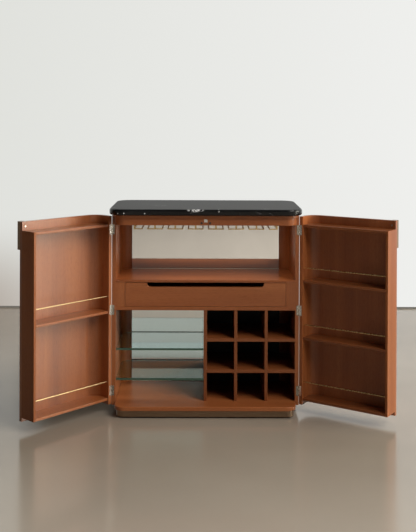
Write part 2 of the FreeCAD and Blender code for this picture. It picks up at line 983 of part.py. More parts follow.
def cabinet_pieces():
    """All the pieces that stay with the cabinet, by name."""
    return {
        "stone_top": [stone_top()],
        "sub_top": [sub_top()],
        "header_rail": [header_rail()],
        "header_corners": header_corners(),
        "ceiling_panel": [ceiling_panel()],
        "left_side_panel": [side_panel(wall_pins(pin_clearance))],
        "right_side_panel": [mirrored(side_panel([]))],
        "back_corners": back_corners(),
        "back_panel": [back_panel()],
        "bottom_panel": [bottom_panel()],
        "plinth_board": [plinth_board()],
        "plinth_band": [plinth_band()],
        "floor_glides": floor_glides(),
        "counter_panel": [counter_panel()],
        "drawer_deck": [drawer_deck()],
        "drawer_stiles": drawer_stiles(),
        "drawer_partitions": drawer_partitions(),
        "drawer_runner_rails": drawer_runner_rails(),
        "centre_divider": [centre_divider()],
        "bottle_uprights": bottle_uprights(),
        "bottle_shelves": bottle_shelves(),
        "bottle_rack_back": [bottle_rack_back()],
        "upper_mirror": [upper_mirror()],
        "lower_mirror": [lower_mirror()],
        "shelf_pins": shelf_pins(),
        "stemware_posts": stemware_posts(),
        "stemware_loops": stemware_loops(),
        "catch_magnets": catch_magnets(),
        "stop_plate": [stop_plate()],
        "hinge_case_leaves": both_sides(case_leaves()),
        "hinge_case_screws": both_sides(case_screws()),
        "hinge_pins": both_sides(hinge_pins()),
    }


def loose_pieces():
    """The drawer and the two glass shelves, by name."""
    upper_level, lower_level = glass_levels()
    return {
        "drawer_front": [drawer_front()],
        "drawer_walls": drawer_walls(),
        "drawer_bottom": [drawer_bottom()],
        "drawer_runner_slides": drawer_runner_slides(),
        "upper_glass_shelf": [glass_shelf(upper_level)],
        "lower_glass_shelf": [glass_shelf(lower_level)],
    }


def rod_levels(shelf_rises, shelf_rod_rise):
    """Heights of the rods: one over the box bottom and one over each shelf."""
    levels = [box_bottom + box_board + rod_rise_floor]
    return levels + [box_bottom + rise + box_board + shelf_rod_rise for rise in shelf_rises]


left_shelves = {"box_shelf": left_shelf_rise}
right_shelves = {"box_shelf_lower": right_lower_shelf_rise, "box_shelf_upper": right_upper_shelf_rise}

pieces = cabinet_pieces()
pieces.update(loose_pieces())
pieces.update(door_pieces("left", left_shelves, rod_levels(left_shelves.values(), rod_rise_left)))
pieces.update(door_pieces("right", right_shelves, rod_levels(right_shelves.values(), rod_rise_right)))

os.makedirs("parts", exist_ok=True)
for name, shapes in pieces.items():
    solids = [solid for shape in shapes for solid in shape.Solids]
    node = solids[0] if len(solids) == 1 else Part.makeCompound(solids)
    node.exportStep("parts/" + name + ".step")
    volume = sum(solid.Volume for solid in solids)
    verdict = "valid" if node.isValid() else "NOT VALID"
    print(name, len(solids), "solids", round(volume / 1000), "cm3", verdict)
print(len(pieces), "nodes")
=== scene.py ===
# %% [markdown]
# # A bar armoire, dressed
#
# This lesson takes a cabinet that is already built as solid boards and fittings, and gives every board,
# stone, glass and metal fitting the surface that it has on the real piece of furniture. The solids come
# in as a fixed frame: nothing is moved or resized here. What we choose is finish, light and the camera's
# place, and we model one small thing anew, the screws.

# %% Load the frame
import json
import math
import bmesh
import bpy
import numpy
from mathutils import Matrix, Vector


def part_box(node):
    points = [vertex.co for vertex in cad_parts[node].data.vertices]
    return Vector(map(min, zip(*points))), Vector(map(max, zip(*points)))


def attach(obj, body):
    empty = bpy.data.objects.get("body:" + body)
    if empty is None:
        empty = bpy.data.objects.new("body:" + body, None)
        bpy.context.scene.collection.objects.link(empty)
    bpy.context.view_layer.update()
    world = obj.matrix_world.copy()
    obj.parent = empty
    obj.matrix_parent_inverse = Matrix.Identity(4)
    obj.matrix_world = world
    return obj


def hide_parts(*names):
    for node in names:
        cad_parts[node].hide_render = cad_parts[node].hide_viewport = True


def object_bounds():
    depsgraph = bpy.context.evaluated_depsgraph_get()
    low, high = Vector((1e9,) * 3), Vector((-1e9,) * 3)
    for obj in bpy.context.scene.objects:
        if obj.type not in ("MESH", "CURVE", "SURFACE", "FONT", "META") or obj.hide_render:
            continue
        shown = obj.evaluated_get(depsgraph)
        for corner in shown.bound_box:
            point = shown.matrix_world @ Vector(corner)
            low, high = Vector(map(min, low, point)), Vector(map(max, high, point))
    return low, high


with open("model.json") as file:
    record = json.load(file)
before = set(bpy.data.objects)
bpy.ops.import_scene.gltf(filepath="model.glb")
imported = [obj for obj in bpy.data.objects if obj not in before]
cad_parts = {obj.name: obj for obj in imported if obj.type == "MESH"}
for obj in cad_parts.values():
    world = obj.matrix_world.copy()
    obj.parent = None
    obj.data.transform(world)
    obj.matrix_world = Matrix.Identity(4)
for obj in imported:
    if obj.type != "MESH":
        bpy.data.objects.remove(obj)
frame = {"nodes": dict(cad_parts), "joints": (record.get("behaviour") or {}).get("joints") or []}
nodes = frame["nodes"]
joints = {joint["name"]: joint for joint in frame["joints"]}
cad_low, cad_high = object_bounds()
print("loaded", len(nodes), "nodes in a box of", [round(v, 3) for v in cad_high - cad_low])

# %% [markdown]
# ## The camera
#
# The photograph was taken from four and a half metres in front of the stone top, half a metre above it,
# with the camera held almost level and the picture cropped low. A level camera keeps the uprights
# parallel, so we hardly tilt it: we slide the picture down with the lens shift instead, as an
# architecture photographer would.

# %% Camera
PHOTO_HEIGHT_PX = 532
FOCAL_PX = 904.7
AXIS_PX = 118.9
CAMERA_PLACE = (-0.0141, -4.7122, 1.5090)
CAMERA_YAW_DEG = 0.290
CAMERA_DIP_DEG = 0.226
CAMERA_ROLL_DEG = 0.228

lens = bpy.data.cameras.new("photo_camera")
lens.sensor_width = 36.0
lens.lens = FOCAL_PX / PHOTO_HEIGHT_PX * lens.sensor_width
lens.shift_y = (AXIS_PX - PHOTO_HEIGHT_PX / 2) / PHOTO_HEIGHT_PX
camera = bpy.data.objects.new("photo_camera", lens)
turn_side = Matrix.Rotation(-math.radians(CAMERA_YAW_DEG), 4, "Z")
turn_down = Matrix.Rotation(math.radians(90 - CAMERA_DIP_DEG), 4, "X")
turn_over = Matrix.Rotation(math.radians(CAMERA_ROLL_DEG), 4, "Z")
camera.matrix_world = Matrix.Translation(CAMERA_PLACE) @ turn_side @ turn_down @ turn_over
bpy.context.scene.collection.objects.link(camera)
bpy.context.scene.camera = camera
print("camera with a", round(lens.lens, 1), "mm lens at", [round(v, 3) for v in camera.location])

# %% [markdown]
# ## Small helpers for node trees
#
# Every finish below is a short chain of nodes, and a few helpers keep the chains readable. They make an
# empty material, add a node with its settings, stretch a noise along one direction, which is how wood
# grain, brushed metal and stone veins all begin, and turn that noise into colour, roughness or relief.

# %% Nodes and noise
def new_finish(name):
    """A material, with its node tree and the Principled shader in it."""
    finish = bpy.data.materials.new(name)
    finish.use_nodes = True
    tree = finish.node_tree
    return finish, tree, tree.nodes["Principled BSDF"]


def add_node(tree, kind, sockets=None, **settings):
    """A node of a kind, with its socket values and its settings."""
    node = tree.nodes.new("ShaderNode" + kind)
    for name, value in settings.items():
        setattr(node, name, value)
    for name, value in (sockets or {}).items():
        node.inputs[name].default_value = value
    return node


def object_place(tree, turn=(0, 0, 0), offset=(0, 0, 0)):
    """Object coordinates, moved and turned so that the pattern's long direction lies along their X."""
    source = add_node(tree, "TexCoord")
    turned = add_node(tree, "Mapping", {"Rotation": turn, "Location": offset})
    tree.links.new(source.outputs["Object"], turned.inputs["Vector"])
    return turned.outputs["Vector"]


def stretched_noise(tree, place, stretch, detail=3.0, roughness=0.5, distortion=0.0):
    """Noise with so many lumps per metre along each direction."""
    scaled = add_node(tree, "VectorMath", operation="MULTIPLY")
    scaled.inputs[1].default_value = stretch
    tree.links.new(place, scaled.inputs[0])
    noise = add_node(tree, "TexNoise", {"Scale": 1.0, "Detail": detail, "Roughness": roughness,
                                        "Distortion": distortion})
    tree.links.new(scaled.outputs["Vector"], noise.inputs["Vector"])
    return noise.outputs["Fac"]


print("helpers for nodes and noise are ready")

# %% Colour, roughness and relief
BLACK = (0.0, 0.0, 0.0)
WHITE = (1.0, 1.0, 1.0)
NOISE_LOW = 0.3
NOISE_HIGH = 0.7
COLOUR_SOCKETS = (6, 7)
COLOUR_RESULT = 2


def ramp(tree, value, stops):
    """A colour ramp through (position, colour) stops."""
    node = add_node(tree, "ValToRGB")
    elements = node.color_ramp.elements
    while len(elements) < len(stops):
        elements.new(0.5)
    for element, (position, colour) in zip(elements, stops):
        element.position = position
        element.color = (*colour, 1.0)
    tree.links.new(value, node.inputs["Fac"])
    return node.outputs["Color"]


def mask(tree, value, start, full, top=WHITE):
    """Black up to the start, then rising to a top colour where it is full."""
    return ramp(tree, value, [(start, BLACK), (full, top)])


def map_range(tree, value, low, high, to_low=0.0, to_high=1.0, **settings):
    """A value between two limits, carried over to two others."""
    node = add_node(tree, "MapRange", {"From Min": low, "From Max": high, "To Min": to_low,
                                       "To Max": to_high}, **settings)
    tree.links.new(value, node.inputs["Value"])
    return node.outputs["Result"]


def spread(tree, noise, limits):
    """Noise, spread between two limits."""
    return map_range(tree, noise, NOISE_LOW, NOISE_HIGH, *limits)


def bump(tree, shader, height, strength, depth):
    """Small relief on a shader."""
    node = add_node(tree, "Bump", {"Strength": strength, "Distance": depth})
    tree.links.new(height, node.inputs["Height"])
    tree.links.new(node.outputs["Normal"], shader.inputs["Normal"])


def mixed(tree, factor, first, second, blend="MIX"):
    """Two colours, mixed by a factor that may be a number or a socket."""
    node = add_node(tree, "Mix", data_type="RGBA", blend_type=blend)
    if isinstance(factor, float):
        node.inputs["Factor"].default_value = factor
    else:
        tree.links.new(factor, node.inputs["Factor"])
    for socket, colour in zip(COLOUR_SOCKETS, (first, second)):
        if isinstance(colour, tuple):
            node.inputs[socket].default_value = (*colour, 1.0)
        else:
            tree.links.new(colour, node.inputs[socket])
    return node.outputs[COLOUR_RESULT]


def dress(finish, names):
    """Gives a finish to CAD nodes."""
    for name in names:
        materials = nodes[name].data.materials
        materials.clear()
        materials.append(finish)
    print(finish.name, "on", len(names), "nodes")


print("helpers for colour, roughness and relief are ready")

# %% [markdown]
# ## Walnut veneer
#
# The cabinet is veneered in a reddish brown walnut under a satin lacquer. Veneer is quiet: soft light and
# dark bands a hand's width across, fine streaks along the grain, and short dark pores. A photograph of
# wood would be quicker, but it repeats and has a fixed size, so we build the three layers from stretched
# noise. The grain runs up the doors and sides, and along the drawer, the rails and the shelves.

# %% Veneer
VENEER_DARK = (0.228, 0.066, 0.021)
VENEER_MIDDLE = (0.312, 0.096, 0.030)
VENEER_LIGHT = (0.400, 0.136, 0.046)
TONE_STOPS = (0.30, 0.50, 0.72)
STREAK_SHARE = 0.22
BAND_STRETCH = (0.7, 8.0, 8.0)
STREAK_STRETCH = (2.2, 120.0, 120.0)
PORE_STRETCH = (40.0, 1100.0, 1100.0)
PORE_SHADE = (0.74, 0.68, 0.64)
PORE_START = 0.57
PORE_FULL = 0.66
PORE_RELIEF = 0.05
PORE_DEPTH = 0.0002
LACQUER_ROUGHNESS = (0.29, 0.33)
LACQUER_SHINE = 0.4


def veneer(name, turn, offset=(0, 0, 0), shade=1.0, shine=LACQUER_SHINE):
    """Lacquered veneer whose grain is turned by the given angles from the X direction."""
    finish, tree, shader = new_finish(name)
    place = object_place(tree, turn, offset)
    bands = stretched_noise(tree, place, BAND_STRETCH, detail=2.0, distortion=0.5)
    streaks = stretched_noise(tree, place, STREAK_STRETCH, detail=4.0, roughness=0.6)
    pores = stretched_noise(tree, place, PORE_STRETCH, detail=1.0)
    figure = add_node(tree, "Mix", {"Factor": STREAK_SHARE}, data_type="FLOAT")
    tree.links.new(bands, figure.inputs["A"])
    tree.links.new(streaks, figure.inputs["B"])
    # painted light and shade: one factor scales all three tones of a board, lighter or darker
    tones = [tuple(c * shade for c in tone) for tone in (VENEER_DARK, VENEER_MIDDLE, VENEER_LIGHT)]
    colour = ramp(tree, figure.outputs["Result"], list(zip(TONE_STOPS, tones)))
    darkened = mixed(tree, mask(tree, pores, PORE_START, PORE_FULL), WHITE, PORE_SHADE)
    tree.links.new(mixed(tree, 1.0, colour, darkened, "MULTIPLY"), shader.inputs["Base Color"])
    tree.links.new(spread(tree, streaks, LACQUER_ROUGHNESS), shader.inputs["Roughness"])
    bump(tree, shader, pores, PORE_RELIEF, PORE_DEPTH)
    shader.inputs["Specular IOR Level"].default_value = shine
    return finish


print("veneer in", len(TONE_STOPS), "tones")

# %% [markdown]
# ### Which board gets which leaf
#
# A veneerer picks leaves board by board, so no two show the same figure. We shift the pattern for each
# group of boards and make the bottle rack a little darker. The box sides and the door shelves are darker
# too, as painted shade, and the counter, the bottom panel and the right door's panel are lighter, as
# painted light; the photograph shows the left door's panel shinier and the right door's lighter. The
# doors stand at an angle, so the grain of their shelves turns with them.

# %% Veneer on the cabinet
GRAIN_UP = (0, math.radians(90), 0)
GRAIN_ACROSS = (0, 0, 0)
# The bottle rack is a little darker, and the counter and bottom panel a little lighter, as painted light.
RACK_SHADE = 0.78
LEVEL_PAINTED_LIGHT = 1.02

walnut_up = veneer("walnut_up", GRAIN_UP)
walnut_across = veneer("walnut_across", GRAIN_ACROSS, offset=(0.3, 0.7, 0.2))
rack_up = veneer("walnut_rack_up", GRAIN_UP, offset=(0.1, 0.4, 0.6), shade=RACK_SHADE)
rack_across = veneer("walnut_rack_across", GRAIN_ACROSS, offset=(0.8, 0.1, 0.5), shade=RACK_SHADE)
level_across = veneer("walnut_level", GRAIN_ACROSS, offset=(0.6, 0.3, 0.4), shade=LEVEL_PAINTED_LIGHT)
dress(rack_up, ["centre_divider", "bottle_uprights"])
dress(rack_across, ["bottle_shelves"])
dress(level_across, ["counter_panel", "bottom_panel"])
dress(walnut_up, ["left_side_panel", "right_side_panel", "back_corners", "back_panel", "drawer_stiles",
                  "drawer_partitions"])
dress(walnut_across, ["sub_top", "header_rail", "header_corners", "ceiling_panel", "plinth_board",
                      "drawer_deck", "drawer_front", "drawer_walls", "drawer_bottom"])

# %% Veneer on the doors
# Painted light on the right door's panel, and painted shade on the box sides and the door shelves.
DOOR_SHINE = {"left": 0.62, "right": 0.40}
DOOR_PAINTED_LIGHT = {"left": 1.0, "right": 1.08}
SIDE_PAINTED_SHADE = 0.86
SIDE_SHINE = 0.2
SHELF_PAINTED_SHADE = {"left": 0.95, "right": 0.75}


def door_turn(joint_name):
    """The plan angle of a door's width when it stands open at rest."""
    joint = joints[joint_name]
    return joint["range_deg"][0] * joint["axis"][2]


for side in ("left", "right"):
    angle = math.radians(door_turn(side + "_door_hinge"))
    along_door = veneer("walnut_%s_shelves" % side, (0, 0, angle), shade=SHELF_PAINTED_SHADE[side])
    side_up = veneer("walnut_%s_box_side" % side, GRAIN_UP, (0.9, 0.6, 0.1), SIDE_PAINTED_SHADE, SIDE_SHINE)
    door_up = veneer("walnut_%s_door" % side, GRAIN_UP, (0.5, 0.2, 0.9), DOOR_PAINTED_LIGHT[side], DOOR_SHINE[side])
    dress(door_up, [side + "_door_panel"])
    dress(side_up, [side + "_box_side"])
    shelves = [name for name in nodes if name.startswith(side + "_box_") and not name.endswith("side")]
    dress(along_door, shelves)

# %% [markdown]
# ## Black marble
#
# The top is a black marble with a few white veins, polished on its rounded edge and honed on the flat,
# where glasses would scratch a polish. Veins are thin and rare, so the pattern is the narrow band where a
# distorted noise crosses its middle value, and a second, broad noise wipes most of it out again. A knot
# of white and a few flecks sit along the front edge: each is an egg-shaped region that lets a fine noise
# through.

# %% Egg-shaped regions
EGG_FULL = 0.6
EGG_END = 1.0


def egg_mask(tree, place, middle, halves):
    """White inside an egg-shaped region, black outside it."""
    value = place
    for operation, by in (("SUBTRACT", middle), ("DIVIDE", halves)):
        step = add_node(tree, "VectorMath", operation=operation)
        step.inputs[1].default_value = by
        tree.links.new(value, step.inputs[0])
        value = step.outputs["Vector"]
    reach = add_node(tree, "VectorMath", operation="LENGTH")
    tree.links.new(value, reach.inputs[0])
    return ramp(tree, reach.outputs["Value"], [(EGG_FULL, WHITE), (EGG_END, BLACK)])


print("egg-shaped regions fade from", EGG_FULL, "to", EGG_END)

# %% Marble
MARBLE_BLACK = (0.005, 0.005, 0.0055)
MARBLE_CLOUD = (0.011, 0.011, 0.012)
CLOUD_STRETCH = (9.0, 9.0, 9.0)
CLOUD_STOPS = (0.35, 0.75)
VEIN_WHITE = (0.78, 0.79, 0.82)
VEIN_STRETCH = (3.0, 5.0, 5.0)
VEIN_STOPS = (0.492, 0.5, 0.508)
RARE_STRETCH = (6.0, 6.0, 6.0)
RARE_START = 0.58
RARE_FULL = 0.72
RARE_GREY = (0.4, 0.4, 0.4)
CRUMB_STRETCH = (110.0, 110.0, 150.0)
CRUMB_START = 0.47
CRUMB_FULL = 0.54
FLECK_DEPTH = 0.02
FLECKS = ((-0.052, 0.003, 0.046, 0.011), (0.063, 0.006, 0.005, 0.010), (-0.302, 0.020, 0.004, 0.004),
          (-0.405, 0.020, 0.003, 0.004), (-0.435, 0.022, 0.004, 0.004))
EDGE_POLISH = 0.16
TOP_HONING = 0.50
HONED_START = 0.7
HONED_FULL = 0.98
STONE_SHINE = 0.3
stone_low, stone_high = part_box("stone_top")


def marble_white(tree, place):
    """Where the stone is white: sparse veins, and flecks along the front edge."""
    lines = stretched_noise(tree, place, VEIN_STRETCH, detail=5.0, roughness=0.55, distortion=1.2)
    thin = ramp(tree, lines, list(zip(VEIN_STOPS, (BLACK, WHITE, BLACK))))
    rare = mask(tree, stretched_noise(tree, place, RARE_STRETCH), RARE_START, RARE_FULL, RARE_GREY)
    white = mixed(tree, 1.0, thin, rare, "MULTIPLY")
    crumbs = mask(tree, stretched_noise(tree, place, CRUMB_STRETCH), CRUMB_START, CRUMB_FULL)
    for across, down, half_width, half_height in FLECKS:
        middle = (across, stone_low.y, stone_high.z - down)
        near = egg_mask(tree, place, middle, (half_width, FLECK_DEPTH, half_height))
        white = mixed(tree, 1.0, white, mixed(tree, 1.0, crumbs, near, "MULTIPLY"), "LIGHTEN")
    return white


def black_marble():
    """Black stone, polished on its edge and honed on its flat."""
    finish, tree, shader = new_finish("black_marble")
    place = object_place(tree)
    clouds = stretched_noise(tree, place, CLOUD_STRETCH, detail=4.0)
    body = ramp(tree, clouds, list(zip(CLOUD_STOPS, (MARBLE_BLACK, MARBLE_CLOUD))))
    colour = mixed(tree, marble_white(tree, place), body, VEIN_WHITE)
    tree.links.new(colour, shader.inputs["Base Color"])
    facing = add_node(tree, "SeparateXYZ")
    tree.links.new(add_node(tree, "TexCoord").outputs["Normal"], facing.inputs["Vector"])
    honing = map_range(tree, facing.outputs["Z"], HONED_START, HONED_FULL, EDGE_POLISH, TOP_HONING)
    tree.links.new(honing, shader.inputs["Roughness"])
    shader.inputs["Specular IOR Level"].default_value = STONE_SHINE
    return finish


dress(black_marble(), ["stone_top"])

# %% [markdown]
# ## Metals
#
# Three metals are used, two of them in two finishes: yellow brass for the stemware loops and the rods of
# the right door, and a darker, rougher copy of it for the rods of the left door, whose darker colour is
# painted shade, satin nickel for the hinge leaves on the cabinet and the strikes, bright nickel for pins,
# runners and the other fittings, and dark bronze for the pulls and the plinth. They differ in colour and
# in how finely they are brushed, so one function makes them all.

# %% Metals
METAL_STOPS = (0.35, 0.65)
BRUSH_RELIEF = 0.05
BRUSH_DEPTH = 0.0002
ALONG_X = (30.0, 300.0, 300.0)
ALONG_Z = (900.0, 900.0, 60.0)
ALL_WAYS = (700.0, 700.0, 700.0)
LEVEL = (25.0, 25.0, 700.0)
METALS = {
    "brass": ((0.66, 0.46, 0.21), (0.72, 0.51, 0.25), (0.24, 0.30), ALONG_X),
    # a darker, rougher copy of brass for the left door's rods: its darker colour is painted shade
    "brass_painted_shade": ((0.56, 0.40, 0.21), (0.62, 0.45, 0.25), (0.30, 0.38), ALONG_X),
    "satin_nickel": ((0.34, 0.30, 0.25), (0.48, 0.43, 0.37), (0.20, 0.32), ALONG_Z),
    "bright_nickel": ((0.74, 0.71, 0.66), (0.86, 0.84, 0.80), (0.20, 0.30), ALL_WAYS),
    "dark_bronze": ((0.25, 0.165, 0.105), (0.35, 0.240, 0.160), (0.30, 0.42), LEVEL),
}


def brushed_metal(name, dark, light, rough, stretch):
    """Metal with a fine brushed variation of colour and gloss."""
    finish, tree, shader = new_finish(name)
    lines = stretched_noise(tree, object_place(tree), stretch, detail=3.0, roughness=0.6)
    colour = ramp(tree, lines, list(zip(METAL_STOPS, (dark, light))))
    tree.links.new(colour, shader.inputs["Base Color"])
    tree.links.new(spread(tree, lines, rough), shader.inputs["Roughness"])
    shader.inputs["Metallic"].default_value = 1.0
    bump(tree, shader, lines, BRUSH_RELIEF, BRUSH_DEPTH)
    return finish


metals = {name: brushed_metal(name, *look) for name, look in METALS.items()}
dress(metals["brass"], ["stemware_posts", "stemware_loops", "right_bottle_rods"])
dress(metals["brass_painted_shade"], ["left_bottle_rods"])
dress(metals["satin_nickel"], ["hinge_case_leaves", "hinge_case_screws", "left_door_screws",
                               "right_door_screws", "left_strike", "right_strike"])
dress(metals["bright_nickel"], ["stop_plate", "shelf_pins", "hinge_pins", "left_hinge_leaves",
                                "right_hinge_leaves", "drawer_runner_rails", "drawer_runner_slides"])
dress(metals["dark_bronze"], ["left_pull", "right_pull", "plinth_band"])

# %% [markdown]
# ## Screws
#
# Two countersunk screws with a cross recess hold each hinge leaf, and two more hold each pull from inside
# the door. The recess could be faked with a bump, but the bright heads are what one sees of a hinge, so
# we shape one screw as it is turned and pressed: a cylinder narrows into the cone of its head, a shank is
# drawn out of the cone to a point, and a cross is cut into the top. Then a copy goes wherever the frame
# has a screw, each turned a little further, as a hand leaves them.

# %% One screw
HEAD_RADIUS = 0.0026
SHANK_RADIUS = 0.0014
TIP_RADIUS = 0.0004
HEAD_DEPTH = 0.0012
SCREW_LENGTH = 0.016
TIP_LENGTH = 0.003
SCREW_SIDES = 24
STRAIGHT_DOWN = -0.9


def pick_underside(piece):
    """In edit mode, selects only the faces that look straight down."""
    bpy.ops.mesh.select_mode(type="FACE")
    bpy.ops.mesh.select_all(action="DESELECT")
    bpy.ops.object.mode_set(mode="OBJECT")
    for face in piece.data.polygons:
        face.select = face.normal.z < STRAIGHT_DOWN
    bpy.ops.object.mode_set(mode="EDIT")


def narrow(share, height):
    """Scales what is selected towards the screw's axis."""
    bpy.ops.transform.resize(value=(share, share, 1), center_override=(0, 0, height))


def draw_out(length):
    """Extrudes what is selected straight down."""
    bpy.ops.mesh.extrude_region_move(TRANSFORM_OT_translate={"value": (0, 0, -length)})


bpy.ops.object.select_all(action="DESELECT")
bpy.ops.mesh.primitive_cylinder_add(vertices=SCREW_SIDES, radius=HEAD_RADIUS, depth=HEAD_DEPTH,
                                    location=(0, 0, -HEAD_DEPTH / 2))
screw = bpy.context.object
bpy.ops.object.transform_apply(location=True, rotation=True, scale=True)
bpy.ops.object.mode_set(mode="EDIT")
pick_underside(screw)
narrow(SHANK_RADIUS / HEAD_RADIUS, -HEAD_DEPTH)
draw_out(SCREW_LENGTH - HEAD_DEPTH - TIP_LENGTH)
draw_out(TIP_LENGTH)
narrow(TIP_RADIUS / SHANK_RADIUS, -SCREW_LENGTH)
bpy.ops.object.mode_set(mode="OBJECT")
print("screw blank with", len(screw.data.polygons), "faces")

# %% Its cross recess
RECESS_WIDTH = 0.0009
RECESS_REACH = 0.0034
RECESS_DEPTH = 0.0010
RECESS_TAPER = 0.45
SMOOTH_ANGLE = math.radians(35)

bpy.ops.object.select_all(action="DESELECT")
bpy.ops.mesh.primitive_cube_add(size=1, scale=(RECESS_REACH, RECESS_WIDTH, 2 * RECESS_DEPTH))
punch = bpy.context.object
bpy.ops.object.transform_apply(location=True, rotation=True, scale=True)
bpy.ops.object.mode_set(mode="EDIT")
bpy.ops.mesh.select_all(action="SELECT")
bpy.ops.mesh.duplicate()
bpy.ops.transform.rotate(value=math.radians(90), orient_axis="Z", center_override=(0, 0, 0))
pick_underside(punch)
narrow(RECESS_TAPER, -RECESS_DEPTH)
bpy.ops.object.mode_set(mode="OBJECT")
pressed = screw.modifiers.new("recess", "BOOLEAN")
pressed.operation = "DIFFERENCE"
pressed.use_self = True
pressed.object = punch
bpy.ops.object.select_all(action="DESELECT")
screw.select_set(True)
bpy.context.view_layer.objects.active = screw
bpy.ops.object.modifier_apply(modifier=pressed.name)
bpy.ops.object.shade_smooth_by_angle(angle=SMOOTH_ANGLE)
bpy.data.objects.remove(punch)
print("screw with its recess has", len(screw.data.polygons), "faces")

# %% Places of the screws
ONE_PLACE = 1e-6


def joined_points(name):
    """The points of each separate solid of a node."""
    shape = bmesh.new()
    shape.from_mesh(nodes[name].data)
    bmesh.ops.remove_doubles(shape, verts=shape.verts, dist=ONE_PLACE)
    waiting = set(shape.verts)
    solids = []
    while waiting:
        reached = [waiting.pop()]
        for vert in reached:
            near = {edge.other_vert(vert) for edge in vert.link_edges} & waiting
            waiting -= near
            reached.extend(near)
        solids.append(numpy.array([vert.co for vert in reached]))
    shape.free()
    return solids


def screw_places(name):
    """For each screw of a node: the middle of its head, the way its head faces, and its length."""
    places = []
    for points in joined_points(name):
        middle = points.mean(axis=0)
        along = numpy.linalg.eigh(numpy.cov((points - middle).T))[1][:, 2]
        run = (points - middle) @ along
        reach = numpy.linalg.norm(points - middle - numpy.outer(run, along), axis=1)
        if run[reach.argmax()] < 0:
            run, along = -run, -along
        places.append((Vector(middle + along * run.max()), Vector(along), run.max() - run.min()))
    return sorted(places, key=lambda place: tuple(round(v, 4) for v in place[0]))


print("screws on the cabinet:", len(screw_places("hinge_case_screws")))

# %% Copies in their places
SCREW_TURN = math.radians(37)


def set_screws(name, body):
    """One piece with a screw in every place of a node, which it replaces."""
    bpy.ops.object.select_all(action="DESELECT")
    places = screw_places(name)
    for count, (head, facing, length) in enumerate(places):
        copy = screw.copy()
        copy.data = screw.data.copy()
        bpy.context.scene.collection.objects.link(copy)
        for vert in copy.data.vertices:
            if vert.co.z < -SCREW_LENGTH / 2:
                vert.co.z -= length - SCREW_LENGTH
        upright = facing.to_track_quat("Z", "Y").to_matrix().to_4x4()
        turned = upright @ Matrix.Rotation(SCREW_TURN * count, 4, "Z")
        copy.data.transform(Matrix.Translation(head) @ turned)
        copy.select_set(True)
        bpy.context.view_layer.objects.active = copy
    bpy.ops.object.join()
    piece = bpy.context.object
    piece.name = name.replace("screws", "cross_screws")
    piece.data.materials.append(metals["bright_nickel"])
    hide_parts(name)
    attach(piece, body)
    print(piece.name, "with", len(places), "screws on", body)


set_screws("hinge_case_screws", "cabinet")
for side in ("left", "right"):
    set_screws(side + "_door_screws", side + "_door")
bpy.data.objects.remove(screw)

# %% [markdown]
# ## Mirrors and glass
#
# A mirror is a metal with almost no roughness, and along its foot a pale line is painted on as a
# painted highlight. The upper mirror is darker than the lower one, which is painted shade. The loose
# shelves are clear float glass: looked through it is faintly tinted, partly by its own colour and partly
# by painted shade, and looked at from the edge it is deep green, because there the light has travelled
# through so much more of it. So the edge faces of each shelf get a green glass of their own. Glass that
# bends light also casts far too dark a shadow in a render, so the shelves cast none.

# %% Mirrors
# The pale line along a mirror's foot is a painted highlight.
FOOT_HIGHLIGHT_HEIGHT = 0.0025
FOOT_HIGHLIGHT = (0.58, 0.60, 0.52)
HAZE_STRETCH = (4.0, 4.0, 4.0)
MIRROR_ROUGHNESS = (0.008, 0.025)
# The upper mirror's silver is darker than the lower one's, as painted shade.
SILVERS = {"upper_mirror": ((0.66, 0.655, 0.64), (0.70, 0.695, 0.68)),
           "lower_mirror": ((0.83, 0.81, 0.76), (0.87, 0.85, 0.80))}


def coordinate(tree, axis):
    """One of the three object coordinates."""
    parts = add_node(tree, "SeparateXYZ")
    tree.links.new(object_place(tree), parts.inputs["Vector"])
    return parts.outputs[axis]


def calculate(tree, operation, *values):
    """A sum on values that may be numbers or sockets."""
    node = add_node(tree, "Math", operation=operation)
    for socket, value in zip(node.inputs, values):
        if isinstance(value, float):
            socket.default_value = value
        else:
            tree.links.new(value, socket)
    return node.outputs["Value"]


def mirror_silver(name, foot, dark, light):
    """Mirror with the faintest uneven polish, and a painted highlight, a pale line along its foot."""
    finish, tree, shader = new_finish(name)
    haze = stretched_noise(tree, object_place(tree), HAZE_STRETCH)
    tree.links.new(spread(tree, haze, MIRROR_ROUGHNESS), shader.inputs["Roughness"])
    silver = ramp(tree, haze, [(NOISE_LOW, dark), (NOISE_HIGH, light)])
    in_foot_highlight = calculate(tree, "LESS_THAN", coordinate(tree, "Z"), foot + FOOT_HIGHLIGHT_HEIGHT)
    tree.links.new(mixed(tree, in_foot_highlight, silver, FOOT_HIGHLIGHT), shader.inputs["Base Color"])
    tree.links.new(calculate(tree, "SUBTRACT", 1.0, in_foot_highlight), shader.inputs["Metallic"])
    return finish


for name, (dark, light) in SILVERS.items():
    dress(mirror_silver(name + "_silver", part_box(name)[0].z, dark, light), [name])

# %% Glass shelves
WAVE_STRETCH = (3.0, 3.0, 3.0)
GLASS_IOR = 1.5
EDGE_TILT = 0.5


def shelf_glass(name, thin, thick, rough, clear):
    """Clear glass with a faint variation of tint."""
    finish, tree, shader = new_finish(name)
    waves = stretched_noise(tree, object_place(tree), WAVE_STRETCH)
    colour = ramp(tree, waves, [(NOISE_LOW, thin), (NOISE_HIGH, thick)])
    tree.links.new(colour, shader.inputs["Base Color"])
    shader.inputs["Roughness"].default_value = rough
    shader.inputs["IOR"].default_value = GLASS_IOR
    shader.inputs["Transmission Weight"].default_value = clear
    return finish


